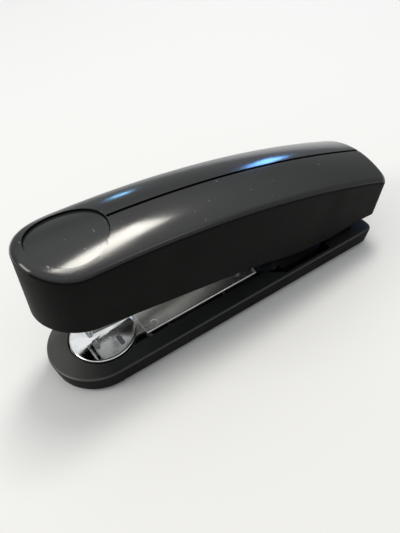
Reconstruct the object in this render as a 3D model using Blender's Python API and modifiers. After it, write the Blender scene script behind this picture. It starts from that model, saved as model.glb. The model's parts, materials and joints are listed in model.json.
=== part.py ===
"""Full-strip desk stapler with a turning anvil, modelled as it comes apart on a bench.

World frame: metres, +Z up, the nose at -X and the hinge at +X, the base's feet on z = 0.
All dimensions below are in millimetres and degrees. Stations along the base are measured
from its front edge. The magazine and the head share one hinge pin, and each is modelled
level, as it lies when the stapler is pressed shut, in a frame whose origin is the pin's
axis. Two empties on the pin then raise them to their rest angles.
"""
import math

import bmesh
import bpy
from mathutils import Matrix

MM = 0.001
GAP = 0.3                     # clearance between pieces that touch

# ---------------------------------------------------------------- driving dimensions
MID_STATION = 79.45           # station that lies on the world's x = 0
PIN_STATION = 146.0
PIN_HEIGHT = 20.0
PIN_RADIUS = 2.0
MAGAZINE_RAISE = 4.8          # rest angle of the magazine over the base
HEAD_RAISE = 5.6              # rest angle of the head over the magazine

FOOT_HEIGHT = 1.5
BASE_BOTTOM = FOOT_HEIGHT + GAP
DECK = 9.6                    # height of the base's upper face
DECK_THICKNESS = 2.4
BASE_HALF_WIDTH = 20.2
BASE_TAPER = 1.1              # how far the foot of the base wall stands inside its top
BASE_NOSE = 21.0              # station of the nose circle's centre
BASE_REAR = 151.0
BASE_CORNER = 3.5
WELL_FLOOR = 2.8
WELL_FRONT = 95.0
WELL_REAR = 147.0
TOWER_FRONT = -18.0           # towers and ears, measured from the pin
TOWER_REAR = -3.8
TOWER_RADIUS = 6.0
TOWER_MIDDLE = 13.95          # distance of each tower's middle from the centre line
TOWER_THICKNESS = 2.1
EAR_MIDDLE = 10.8             # the same for the bracket's ears inside the towers
BRACKET_SHEET = 1.2
BRACKET_HALF_WIDTH = 11.4
SLOT_HALF_WIDTH = 12.3        # deck slot under the strip, and the well's narrow front
WELL_HALF_WIDTH = 18.3
WELL_WIDE_FRONT = 103.0
WELL_WIDE_REAR = 127.0
WELL_TAIL_HALF_WIDTH = 12.6
RIB_HALF_LENGTH = 3.0
RIB_HALF_WIDTH = 17.6
FOOT_HALF_WIDTH = 17.6
FRONT_FOOT_REAR = 40.0
FOOT_OPENING_RADIUS = 9.0
SCREW_RADIUS = 1.5
RIVET_SHANK = 1.1
RIVET_HEAD = 1.9

ANVIL_STATION = 23.7
ANVIL_RADIUS = 13.6
ANVIL_TOP = 10.35
ANVIL_THICKNESS = 1.2
STEM_RADIUS = 3.0
STRIP_HALF_WIDTH = 10.3
STRIP_REAR = 93.0
STRIP_THICKNESS = 1.2
FLANGE_DEPTH = 5.4            # height of the foot of the strip's side flanges
FLANGE_RUNS = ((50.0, 67.5), (77.0, 91.0))
POCKETS = (("clinch", -4.5, 0.8, 6.3), ("pin", 4.5, 4.4, 10.0))   # place along, |y| span
POCKET_HALF_WIDTH = 1.1
POCKET_DEPTH = 0.6
RIB_STATIONS = (45.0, 72.0)
RIVET_STATION = 86.0
RIVET_SIDE = 5.0
LEAF_THICKNESS = 0.6
LIFT_LEAF_STATION = 104.0     # rivet of the lift spring

HEAD_HALF_WIDTH = 19.0
HEAD_FOOT_HALF_WIDTH = 17.6
HEAD_NOSE = -129.5            # centre of the nose circle at the top edge
HEAD_FOOT_NOSE = -127.2       # and at the lower edge
HEAD_REAR = 9.1
HEAD_CORNER = 3.0
HEAD_EDGE_RADIUS = 2.0
HEAD_WALL = 2.0
HEAD_ROOF = 3.4
CROWN = 4.7                   # rise of the top's middle over its edges
CREST = -73.7                 # highest place of the top edge along the head
CREST_HEIGHT = 22.2
CREST_CURVE = 0.0012          # fall of the top edge per squared millimetre
PAD_RADIUS = 14.4
PAD_RECESS = 0.9
PAD_THICKNESS = 1.2
GROOVE_FRONT = -114.6
GROOVE_WIDTH = 1.1
GROOVE_DEPTH = 2.0

DRIVER_U = -126.75            # middle of the driver blade, over the anvil's clinch pockets
DRIVER_THICKNESS = 0.5
DRIVER_HALF_WIDTH = 6.0
DRIVER_RIVET_SIDE = 3.2
DRIVER_RIVET_HEIGHT = 8.0
NOSE_PLATE_FRONT = -128.3
NOSE_PLATE_REAR = -127.5
CHANNEL_FRONT = -127.2
CHANNEL_HALF_WIDTH = 7.3
CHANNEL_BOTTOM = -9.2
CHANNEL_TOP = 0.5
SHEET = 0.8                   # sheet steel of the magazine
RAIL_FRONT = -125.9
RAIL_REAR = -6.0
RAIL_HALF_WIDTH = 5.4
RAIL_TOP = -2.6
RAIL_RIVET = -9.0
ROD_HEIGHT = -5.7
ROD_RADIUS = 0.8
PUSHER_FRONT = -125.6
PUSHER_LENGTH = 14.0
PUSHER_HALF_WIDTH = 6.2
TONGUE_MIDDLE = -119.2
ARM_HALF_WIDTH = 9.4
ARM_SHEET = 1.0
ARM_TOP = 12.5
ARM_WEB = 1.2
RETURN_LEAF_U = -30.0         # rivet of the return spring
SCREW_PLACES = (-96.0, -14.0)


# ---------------------------------------------------------------- scene, groups, finishes
def clear_scene():
    for obj in list(bpy.context.scene.objects):
        bpy.data.objects.remove(obj, do_unlink=True)


def new_collection(name):
    collection = bpy.data.collections.new(name)
    bpy.context.scene.collection.children.link(collection)
    return collection


def new_group(name, location, raised=0.0, parent=None):
    """An empty that places a group of parts; raised lifts the nose end, in degrees."""
    empty = bpy.data.objects.new(name, None)
    PARTS.objects.link(empty)
    empty.parent = parent
    empty.location = [value * MM for value in location]
    empty.rotation_euler = (0.0, math.radians(raised), 0.0)
    return empty


def finish(name, colour, roughness, metallic=0.0):
    material = bpy.data.materials.new(name)
    material.use_nodes = True
    shader = material.node_tree.nodes["Principled BSDF"]
    shader.inputs["Base Color"].default_value = (*colour, 1.0)
    shader.inputs["Roughness"].default_value = roughness
    shader.inputs["Metallic"].default_value = metallic
    return material


# ---------------------------------------------------------------- shape helpers
def box_mesh(size):
    bm = bmesh.new()
    scale = Matrix.Diagonal((*[value * MM for value in size], 1.0))
    bmesh.ops.create_cube(bm, size=1.0, matrix=scale)
    return finished_mesh(bm)


def cylinder_mesh(radius, length, segments=32):
    bm = bmesh.new()
    bmesh.ops.create_cone(bm, cap_ends=True, segments=segments, radius1=radius * MM,
                          radius2=radius * MM, depth=length * MM)
    return finished_mesh(bm)


def finished_mesh(bm):
    bmesh.ops.recalc_face_normals(bm, faces=bm.faces)
    mesh = bpy.data.meshes.new("shape")
    bm.to_mesh(mesh)
    bm.free()
    return mesh


def outline_mesh(points, thickness, upright=False):
    """A filled flat outline, pulled both ways to its thickness; upright stands it in XZ."""
    curve = bpy.data.curves.new("outline", "CURVE")
    curve.dimensions = "2D"
    curve.fill_mode = "BOTH"
    curve.extrude = thickness * MM / 2
    spline = curve.splines.new("POLY")
    spline.points.add(len(points) - 1)
    for point, (x, y) in zip(spline.points, points):
        point.co = (x * MM, y * MM, 0.0, 1.0)
    spline.use_cyclic_u = True
    return curve_to_mesh(curve, Matrix.Rotation(math.pi / 2, 4, "X") if upright else Matrix())


def curve_to_mesh(curve, turn):
    """The curve's own surface as a welded mesh."""
    holder = bpy.data.objects.new("holder", curve)
    bpy.context.scene.collection.objects.link(holder)
    bpy.context.view_layer.update()
    mesh = bpy.data.meshes.new_from_object(holder.evaluated_get(
        bpy.context.evaluated_depsgraph_get()))
    bpy.data.objects.remove(holder, do_unlink=True)
    bpy.data.curves.remove(curve)
    bm = bmesh.new()
    bm.from_mesh(mesh)
    bpy.data.meshes.remove(mesh)
    bmesh.ops.remove_doubles(bm, verts=bm.verts, dist=0.000001)
    bmesh.ops.transform(bm, matrix=turn, verts=bm.verts)
    return finished_mesh(bm)


def coil_mesh(radius, wire, length, turns, points_per_turn):
    """A round-wire helix along Z, centred on its origin."""
    curve = bpy.data.curves.new("coil", "CURVE")
    curve.dimensions = "3D"
    curve.bevel_depth = wire * MM / 2
    curve.bevel_resolution = 2
    curve.use_fill_caps = True
    spline = curve.splines.new("POLY")
    count = int(turns * points_per_turn)
    spline.points.add(count)
    for index, point in enumerate(spline.points):
        angle = 2 * math.pi * turns * index / count
        height = length * (index / count - 0.5)
        point.co = (radius * MM * math.cos(angle), radius * MM * math.sin(angle),
                    height * MM, 1.0)
    return curve_to_mesh(curve, Matrix())


def place(name, mesh, location=(0, 0, 0), rotation=(0, 0, 0), group=None, material=None):
    """Make a part, or where it has no material a cutter, in its group's frame."""
    obj = bpy.data.objects.new(name, mesh)
    obj.parent = group
    obj.location = [value * MM for value in location]
    obj.rotation_euler = [math.radians(value) for value in rotation]
    if material is None:
        CUTTERS.objects.link(obj)
        obj.hide_render = True
        obj.display_type = "WIRE"
    else:
        PARTS.objects.link(obj)
        mesh.materials.append(material)
    return obj


def combine(target, tool, operation):
    modifier = target.modifiers.new(tool.name, "BOOLEAN")
    modifier.operation = operation
    modifier.solver = "EXACT"
    modifier.object = tool
    return target


def box_between(name, low, high, group, material=None):
    size = [b - a for a, b in zip(low, high)]
    centre = [(a + b) / 2 for a, b in zip(low, high)]
    return place(name, box_mesh(size), centre, group=group, material=material)


def cut_box(target, name, low, high):
    return combine(target, box_between(name, low, high, target.parent), "DIFFERENCE")


def join_box(target, name, low, high):
    return combine(target, box_between(name, low, high, target.parent), "UNION")


def cut_hole(target, name, centre, radius, length, rotation=(0, 0, 0), segments=32):
    hole = place(name, cylinder_mesh(radius, length, segments), centre, rotation,
                 target.parent)
    return combine(target, hole, "DIFFERENCE")


def both_sides(points):
    """A closed outline from its +Y half, listed from the nose to the rear."""
    return points + [(x, -y) for x, y in reversed(points)]


def turned(name, profile, location, rotation, group, material, steps=24):
    """A turned part; the profile lists (radius, height) from the top down."""
    bm = bmesh.new()
    corners = [bm.verts.new((radius * MM, 0.0, height * MM)) for radius, height in profile]
    for first, second in zip(corners, corners[1:]):
        bm.edges.new((first, second))
    mesh = bpy.data.meshes.new(name)
    bm.to_mesh(mesh)
    bm.free()
    obj = place(name, mesh, location, rotation, group, material)
    screw = obj.modifiers.new("turn", "SCREW")
    screw.steps = steps
    screw.render_steps = steps
    screw.use_merge_vertices = True
    screw.merge_threshold = 0.000001
    return obj


def rivet(name, grip, location, rotation, group, shank=RIVET_SHANK, head=RIVET_HEAD, rise=0.6):
    """A rivet along Z, centred on its grip, with a flat head at each end."""
    end = grip / 2 + GAP
    profile = [(0, end + rise), (head, end + rise), (head, end), (shank, end),
               (shank, -end), (head, -end), (head, -end - rise), (0, -end - rise)]
    return turned(name, profile, location, rotation, group, STEEL, steps=16)


def screw_part(name, head_low, tip, location, group):
    """A pan-head screw standing on its head, from head_low up to its tip."""
    profile = [(0, tip), (1.1, tip), (SCREW_RADIUS, tip - 0.6), (SCREW_RADIUS, head_low + 1.2),
               (2.9, head_low + 1.2), (2.9, head_low + 0.4), (2.4, head_low), (0, head_low)]
    return turned(name, profile, location, (0, 0, 0), group, STEEL, steps=20)


def strip_mesh(path, width):
    """An open strip: a bent path (x, z), swept across Y."""
    bm = bmesh.new()
    verts = [bm.verts.new((x * MM, -width * MM / 2, z * MM)) for x, z in path]
    edges = [bm.edges.new(pair) for pair in zip(verts, verts[1:])]
    swept = bmesh.ops.extrude_edge_only(bm, edges=edges)
    moved = [item for item in swept["geom"] if isinstance(item, bmesh.types.BMVert)]
    bmesh.ops.translate(bm, verts=moved, vec=(0.0, width * MM, 0.0))
    return finished_mesh(bm)


def bent_strip(name, path, width, thickness, group, material=None):
    strip = place(name, strip_mesh(path, width), group=group, material=material)
    solid = strip.modifiers.new("thickness", "SOLIDIFY")
    solid.thickness = thickness * MM
    solid.offset = 0.0
    solid.use_even_offset = True
    return strip


# ---------------------------------------------------------------- lofted plan forms
def half_outline(half_width, nose, rear, corner, nose_steps, straight_steps):
    """The +Y side of a plan outline: round nose, straight side, rounded rear corner."""
    points = []
    for step in range(nose_steps + 1):
        angle = math.radians(90 * step / nose_steps)
        points.append((nose - half_width * math.cos(angle), half_width * math.sin(angle)))
    for step in range(1, straight_steps):
        share = step / straight_steps
        points.append((nose + (rear - corner - nose) * share, half_width))
    for step in range(4):
        angle = math.radians(30 * step)
        points.append((rear - corner + corner * math.sin(angle),
                       half_width - corner + corner * math.cos(angle)))
    return points


def lofted_mesh(levels, nose_steps, straight_steps, cross_steps):
    """A closed solid through levels of (half width, nose, rear, corner, height(x, y))."""
    bm = bmesh.new()
    loops = []
    for half_width, nose, rear, corner, height in levels:
        side = half_outline(half_width, nose, rear, corner, nose_steps, straight_steps)
        rear_half = side[-1][1]
        across = [(rear, rear_half * (1 - 2 * step / cross_steps))
                  for step in range(1, cross_steps)]
        mirrored = [(x, -y) for x, y in reversed(side[1:])]
        loops.append([bm.verts.new((x * MM, y * MM, height(x, y) * MM))
                      for x, y in [(side[0][0], 0.0)] + side[1:] + across + mirrored])
    for low, high in zip(loops, loops[1:]):
        for index in range(len(low)):
            after = (index + 1) % len(low)
            bm.faces.new((low[index], low[after], high[after], high[index]))
    stations = nose_steps + straight_steps + 3
    cap_rows(bm, loops[-1], stations, cross_steps, levels[-1][4])
    cap_rows(bm, loops[0], stations, 1, levels[0][4], rear_steps=cross_steps)
    return finished_mesh(bm)


def cap_rows(bm, loop, stations, cross_steps, height, rear_steps=None):
    """Close a loop with rows of faces across Y, so that a crowned or bent cap is true."""
    rear_row = loop[stations:stations + (rear_steps or cross_steps) + 1]
    rows = []
    for station in range(1, stations):
        left, right = loop[station], loop[-station]
        inner = []
        for step in range(1, cross_steps):
            y = left.co.y * (1 - 2 * step / cross_steps)
            inner.append(bm.verts.new((left.co.x, y, height(left.co.x / MM, y / MM) * MM)))
        rows.append([left] + inner + [right])
    for first, second in zip(rows[0], rows[0][1:]):
        bm.faces.new((loop[0], first, second))
    for row, following in zip(rows, rows[1:]):
        for step in range(cross_steps):
            bm.faces.new((row[step], row[step + 1], following[step + 1], following[step]))
    if rear_steps:
        bm.faces.new([rows[-1][0]] + rear_row + [rows[-1][1]])
    else:
        for step in range(cross_steps):
            bm.faces.new((rows[-1][step], rows[-1][step + 1],
                          rear_row[step + 1], rear_row[step]))


# ---------------------------------------------------------------- base
def flat(height):
    return lambda x, y: height


def base_shell():
    """The moulded base: tapered wall, deck, anvil opening, strip slot, hinge well."""
    wall = [(BASE_TAPER, BASE_BOTTOM), (0.1, DECK - 1.6), (0.0, DECK - 0.7), (0.6, DECK)]
    levels = [(BASE_HALF_WIDTH - inset, BASE_NOSE, BASE_REAR - inset, BASE_CORNER, flat(z))
              for inset, z in wall]
    shell = place("base_shell", lofted_mesh(levels, 14, 1, 2), group=BASE, material=PLASTIC)
    hollow = [(BASE_HALF_WIDTH - inset, BASE_NOSE, WELL_FRONT - 1.0, 1.0, flat(z))
              for inset, z in ((3.2, -1.0), (2.4, DECK - DECK_THICKNESS))]
    hollow_cut = place("base_hollow_cut", lofted_mesh(hollow, 10, 1, 2), group=BASE)
    combine(shell, hollow_cut, "DIFFERENCE")
    cut_hole(shell, "anvil_opening_cut", (ANVIL_STATION, 0, DECK), ANVIL_RADIUS + 0.6,
             8.0, segments=48)
    cut_box(shell, "strip_slot_cut", (32, -SLOT_HALF_WIDTH, 5),
            (WELL_FRONT + 1, SLOT_HALF_WIDTH, 12))
    well = both_sides([(WELL_FRONT, SLOT_HALF_WIDTH), (WELL_WIDE_FRONT, WELL_HALF_WIDTH),
                       (WELL_WIDE_REAR, WELL_HALF_WIDTH), (WELL_WIDE_REAR, WELL_TAIL_HALF_WIDTH),
                       (WELL_REAR, WELL_TAIL_HALF_WIDTH)])
    well_cut = place("well_cut", outline_mesh(well, 12.0), (0, 0, WELL_FLOOR + 6.0),
                     group=BASE)
    combine(shell, well_cut, "DIFFERENCE")
    for number, station in enumerate(RIB_STATIONS, 1):
        join_box(shell, f"rib_{number}",
                 (station - RIB_HALF_LENGTH, -RIB_HALF_WIDTH, BASE_BOTTOM + 0.4),
                 (station + RIB_HALF_LENGTH, RIB_HALF_WIDTH, DECK - STRIP_THICKNESS - GAP))
        cut_hole(shell, f"rib_bore_{number}", (station, 0, 5), SCREW_RADIUS + GAP, 14.0)
        cut_hole(shell, f"rib_counterbore_{number}", (station, 0, 1.6), 3.3, 4.0)
    for side in (-1, 1):
        tower = place(f"tower_{'right' if side < 0 else 'left'}",
                      outline_mesh(ear_outline(9.6), TOWER_THICKNESS, upright=True),
                      (PIN_STATION, side * TOWER_MIDDLE, PIN_HEIGHT), group=BASE)
        combine(shell, tower, "UNION")


def ear_outline(depth):
    """A hinge ear around the pin: rounded at the top and rear, leaning on its front leg."""
    points = [(TOWER_REAR, -depth - 1.8), (TOWER_REAR, -6.8)]
    for step in range(9):
        angle = math.radians(-110 + 25 * step)
        points.append((TOWER_RADIUS * math.cos(angle), TOWER_RADIUS * math.sin(angle)))
    points += [(TOWER_FRONT + 3, TOWER_RADIUS), (TOWER_FRONT, TOWER_RADIUS - 3),
               (TOWER_FRONT, -depth - 1.8)]
    return points


def hinge_bracket():
    """Painted steel floor with two ears for the pin and a tongue under the strip."""
    floor = WELL_FLOOR + GAP + BRACKET_SHEET / 2
    under = DECK - STRIP_THICKNESS - GAP - BRACKET_SHEET / 2
    bracket = bent_strip("hinge_bracket", [(80, under), (94, under), (99, floor), (112, floor)],
                         18.0, BRACKET_SHEET, BASE, PAINTED_STEEL)
    join_box(bracket, "bracket_floor", (106, -BRACKET_HALF_WIDTH, floor - BRACKET_SHEET / 2),
             (146.6, BRACKET_HALF_WIDTH, floor + BRACKET_SHEET / 2))
    for side in (-1, 1):
        ear = place(f"ear_{'right' if side < 0 else 'left'}",
                    outline_mesh(ear_outline(14.5), BRACKET_SHEET, upright=True),
                    (PIN_STATION, side * EAR_MIDDLE, PIN_HEIGHT), group=BASE)
        combine(bracket, ear, "UNION")
    cut_hole(bracket, "bracket_pin_hole", (PIN_STATION, 0, PIN_HEIGHT), PIN_RADIUS + GAP,
             30.0, (90, 0, 0))
    for side in (-1, 1):
        cut_hole(bracket, f"tongue_hole_{side + 2}", (RIVET_STATION, RIVET_SIDE * side, under),
                 RIVET_SHANK + GAP, 4.0)
    cut_hole(bracket, "lift_spring_hole", (LIFT_LEAF_STATION, 0, floor), RIVET_SHANK + GAP, 4.0)
    cut_box(bracket, "bracket_trim", (95, -12, -5), (150, 12, WELL_FLOOR + GAP))


def base_plate():
    """The plated steel strip: a pan under the anvil, a neck and a flanged rear run."""
    low = DECK - STRIP_THICKNESS
    plate = place("base_plate", cylinder_mesh(ANVIL_RADIUS + 0.1, STRIP_THICKNESS, 48),
                  (ANVIL_STATION, 0, 8.0), group=BASE, material=PLATED_STEEL)
    join_box(plate, "plate_neck", (33, -9, 7.4), (40, 9, 8.6))
    join_box(plate, "plate_step", (38.5, -9, 7.6), (40.2, 9, DECK - 0.2))
    join_box(plate, "plate_strip", (38.5, -STRIP_HALF_WIDTH, low),
             (STRIP_REAR, STRIP_HALF_WIDTH, DECK))
    for number, (front, rear) in enumerate(FLANGE_RUNS, 1):
        for side in (-1, 1):
            inner, outer = sorted((side * 9.3, side * (STRIP_HALF_WIDTH - 0.01)))
            join_box(plate, f"plate_flange_{number}_{side + 2}",
                     (front, inner, FLANGE_DEPTH), (rear, outer, DECK - 0.3))
    join_box(plate, "plate_lip", (STRIP_REAR - 1.2, -10.1, 9.0),
             (STRIP_REAR - 0.01, -7.6, 10.6))
    cut_hole(plate, "stem_hole", (ANVIL_STATION, 0, 8.0), STEM_RADIUS + GAP, 6.0)
    for side in (-1, 1):
        cut_hole(plate, f"strip_hole_{side + 2}", (RIVET_STATION, RIVET_SIDE * side, DECK),
                 RIVET_SHANK + GAP, 6.0)
    for number, station in enumerate(RIB_STATIONS, 1):
        cut_hole(plate, f"screw_socket_{number}", (station, 0, low), SCREW_RADIUS + GAP, 1.6)


def base_fasteners():
    for number, station in enumerate(RIB_STATIONS, 1):
        screw_part(f"base_screw_{number}", 2.1, DECK - 0.7, (station, 0, 0), BASE)
    grip = STRIP_THICKNESS + GAP + BRACKET_SHEET
    for side, label in ((-1, "right"), (1, "left")):
        rivet(f"bracket_rivet_{label}", grip,
              (RIVET_STATION, RIVET_SIDE * side, DECK - grip / 2), (0, 0, 0), BASE, rise=0.5)


def feet():
    """Rubber pads; the front one is open under the anvil's stem."""
    span = half_outline(FOOT_HALF_WIDTH, BASE_NOSE, FRONT_FOOT_REAR, 3.0, 10, 1)
    foot = place("foot_front", outline_mesh(both_sides(span[1:]) + [span[0]], FOOT_HEIGHT),
                 (0, 0, FOOT_HEIGHT / 2), group=BASE, material=RUBBER)
    cut_hole(foot, "foot_opening", (ANVIL_STATION, 0, FOOT_HEIGHT / 2),
             FOOT_OPENING_RADIUS, 6.0)
    rear = []
    corners = ((147, 15), (113, 15), (113, -15), (147, -15))
    for quarter, (centre_x, centre_y) in enumerate(corners):
        for step in range(4):
            angle = math.radians(90 * quarter + 30 * step)
            rear.append((centre_x + 2.5 * math.cos(angle), centre_y + 2.5 * math.sin(angle)))
    place("foot_rear", outline_mesh(rear, FOOT_HEIGHT), (0, 0, FOOT_HEIGHT / 2),
          group=BASE, material=RUBBER)


def lift_spring():
    """Leaf that holds the magazine up, riveted to the bracket's floor."""
    floor = WELL_FLOOR + 2 * GAP + BRACKET_SHEET + LEAF_THICKNESS / 2
    path = [(101, floor), (109, floor), (112, floor + 0.5), (121.5, 11.1), (124, 12.0),
            (126.5, 11.6)]
    spring = bent_strip("lift_spring", path, 8.0, LEAF_THICKNESS, BASE, SPRING_STEEL)
    cut_hole(spring, "leaf_hole", (LIFT_LEAF_STATION, 0, floor), RIVET_SHANK + GAP, 4.0)
    seat = BRACKET_SHEET + GAP + LEAF_THICKNESS + GAP
    profile = [(0, seat + 0.6), (RIVET_HEAD, seat + 0.6), (RIVET_HEAD, seat),
               (RIVET_SHANK, seat), (RIVET_SHANK, 0.1), (0, 0.1)]
    turned("lift_spring_rivet", profile, (LIFT_LEAF_STATION, 0, WELL_FLOOR + GAP), (0, 0, 0),
           BASE, STEEL, steps=16)


def hinge_pin():
    place("hinge_pin", cylinder_mesh(PIN_RADIUS, 25.0, 24), (PIN_STATION, 0, PIN_HEIGHT),
          (90, 0, 0), BASE, STEEL)
    for side, label in ((-1, "right"), (1, "left")):
        clip = place(f"pin_clip_{label}", cylinder_mesh(4.0, 0.7, 24),
                     (PIN_STATION, side * 12.05, PIN_HEIGHT), (90, 0, 0), BASE, SPRING_STEEL)
        cut_hole(clip, f"clip_bore_{label}", (PIN_STATION, side * 12.05, PIN_HEIGHT),
                 PIN_RADIUS + GAP, 3.0, (90, 0, 0), 24)


def anvil():
    """Turning anvil: one end clinches staples, the other pins them outwards."""
    top = place("anvil_plate", cylinder_mesh(ANVIL_RADIUS, ANVIL_THICKNESS, 64),
                (0, 0, ANVIL_TOP - ANVIL_THICKNESS / 2), group=ANVIL, material=PLATED_STEEL)
    for side in (-1, 1):
        for use, middle, inner, outer in POCKETS:
            low, high = sorted((side * inner, side * outer))
            cut_box(top, f"{use}_pocket_{side + 2}",
                    (middle - POCKET_HALF_WIDTH, low, ANVIL_TOP - POCKET_DEPTH),
                    (middle + POCKET_HALF_WIDTH, high, ANVIL_TOP + 1))
    stem_top = ANVIL_TOP - ANVIL_THICKNESS - GAP
    profile = [(0, stem_top), (STEM_RADIUS, stem_top), (STEM_RADIUS, 3.2), (2.4, 2.6), (0, 2.6)]
    turned("anvil_stem", profile, (0, 0, 0), (0, 0, 0), ANVIL, STEEL)
    clip = place("anvil_washer", cylinder_mesh(5.8, 0.8, 32), (0, 0, 4.0), group=ANVIL,
                 material=SPRING_STEEL)
    cut_hole(clip, "washer_bore", (0, 0, 4.0), STEM_RADIUS + GAP, 3.0)
    place("anvil_spring", coil_mesh(4.3, 0.5, 1.9, 2.5, 16), (0, 0, 5.9), group=ANVIL,
          material=SPRING_STEEL)


# ---------------------------------------------------------------- magazine
def magazine_channel():
    """Outer U of the magazine with its two hinge lugs."""
    side = [(CHANNEL_FRONT, CHANNEL_BOTTOM), (-3.5, CHANNEL_BOTTOM)]
    for step in range(8):
        angle = math.radians(-60 + 25 * step)
        side.append((4.5 * math.cos(angle), 4.5 * math.sin(angle)))
    side += [(-12.0, CHANNEL_TOP), (CHANNEL_FRONT, CHANNEL_TOP)]
    channel = place("magazine_channel",
                    outline_mesh(side, 2 * CHANNEL_HALF_WIDTH, upright=True),
                    group=MAGAZINE, material=PLATED_STEEL)
    inner = CHANNEL_HALF_WIDTH - SHEET
    cut_box(channel, "channel_inside", (-140, -inner, CHANNEL_BOTTOM + SHEET), (20, inner, 20))
    cut_box(channel, "staple_exit", (-140, -inner, -20), (-126.1, inner, 0))
    cut_hole(channel, "channel_pin_hole", (0, 0, 0), PIN_RADIUS + GAP, 30.0, (90, 0, 0))
    cut_hole(channel, "channel_rivet_hole", (RAIL_RIVET, 0, ROD_HEIGHT), 1.2, 30.0,
             (90, 0, 0), 16)


def staple_rail():
    """Inverted U that the staples ride on, slotted for the pusher's tongue."""
    low = CHANNEL_BOTTOM + SHEET + GAP
    rail = box_between("staple_rail", (RAIL_FRONT, -RAIL_HALF_WIDTH, low),
                       (RAIL_REAR, RAIL_HALF_WIDTH, RAIL_TOP), MAGAZINE, STEEL)
    inner = RAIL_HALF_WIDTH - SHEET
    cut_box(rail, "rail_inside", (-140, -inner, -20), (10, inner, RAIL_TOP - SHEET))
    cut_box(rail, "rail_slot", (-121.8, -1.6, -5), (-24.0, 1.6, 0))
    cut_hole(rail, "rail_rivet_hole", (RAIL_RIVET, 0, ROD_HEIGHT), 1.2, 30.0, (90, 0, 0), 16)
    rivet("rail_rivet", 2 * CHANNEL_HALF_WIDTH, (RAIL_RIVET, 0, ROD_HEIGHT), (90, 0, 0),
          MAGAZINE, shank=0.9, head=1.5, rise=0.4)


def nose_plate():
    """Front wall of the magazine; the driver drops just behind it."""
    box_between("nose_plate", (NOSE_PLATE_FRONT, -CHANNEL_HALF_WIDTH, CHANNEL_BOTTOM),
                (NOSE_PLATE_REAR, CHANNEL_HALF_WIDTH, CHANNEL_TOP), MAGAZINE, PLATED_STEEL)


def pusher():
    """Saddle that drives the staples forward, its tongue on the guide rod."""
    body = box_between("pusher", (PUSHER_FRONT, -PUSHER_HALF_WIDTH, -7.7),
                       (PUSHER_FRONT + PUSHER_LENGTH, PUSHER_HALF_WIDTH, 0.0),
                       MAGAZINE, GREY_PLASTIC)
    cut_box(body, "pusher_saddle", (-140, -RAIL_HALF_WIDTH - GAP, -20),
            (0, RAIL_HALF_WIDTH + GAP, RAIL_TOP + GAP))
    join_box(body, "pusher_tongue", (TONGUE_MIDDLE - 2, -1.2, -7.3),
             (TONGUE_MIDDLE + 2, 1.2, -1.0))
    cut_hole(body, "tongue_bore", (TONGUE_MIDDLE, 0, ROD_HEIGHT), ROD_RADIUS + 0.25, 8.0,
             (0, 90, 0), 16)


def pusher_drive():
    """Guide rod, its rear anchor and the spring that pushes the saddle forward."""
    place("spring_rod", cylinder_mesh(ROD_RADIUS, 109.0, 12), (-67.9, 0, ROD_HEIGHT),
          (0, 90, 0), MAGAZINE, STEEL)
    anchor = box_between("rod_anchor", (-17.0, -4.3, -8.0), (-15.8, 4.3, RAIL_TOP - SHEET - GAP),
                         MAGAZINE, STEEL)
    cut_hole(anchor, "anchor_bore", (-16.4, 0, ROD_HEIGHT), ROD_RADIUS + GAP, 5.0, (0, 90, 0), 16)
    place("pusher_spring", coil_mesh(1.55, 0.4, 98.6, 12, 8), (-67.0, 0, ROD_HEIGHT),
          (0, 90, 0), MAGAZINE, SPRING_STEEL)


# ---------------------------------------------------------------- head
def top_height(x, y):
    """The head's upper surface: an arched line along it, crowned across."""
    arch = CREST_HEIGHT - CREST_CURVE * (x - CREST) ** 2
    return arch + CROWN * (1 - (y / HEAD_HALF_WIDTH) ** 2)


def lower_height(x):
    """The head's lower edge: straight, with a shallow belly ahead of the hinge."""
    def eased(start, end):
        share = min(max((x - start) / (end - start), 0.0), 1.0)
        return share * share * (3 - 2 * share)
    return -8.0 - 1.7 * eased(-62.0, -36.0) + 5.6 * eased(-30.0, 9.0)


def head_form(name, wall=0.0, drop=0.0, reach=0.0, material=None):
    """The head's closed form: wall inside its sides, drop below its top, reach past its foot."""
    def foot(x, y):
        return lower_height(x) - reach

    levels = [(HEAD_FOOT_HALF_WIDTH - wall, HEAD_FOOT_NOSE, HEAD_REAR - wall, HEAD_CORNER, foot)]
    for step in range(4):
        angle = math.radians(30 * step)
        inset = wall + HEAD_EDGE_RADIUS * (1 - math.cos(angle))
        lower = drop + HEAD_EDGE_RADIUS * (1 - math.sin(angle))
        levels.append((HEAD_HALF_WIDTH - inset, HEAD_NOSE, HEAD_REAR - inset, HEAD_CORNER,
                       lambda x, y, lower=lower: top_height(x, y) - lower))
    return place(name, lofted_mesh(levels, 10, 11, 8), group=HEAD, material=material)


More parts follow.
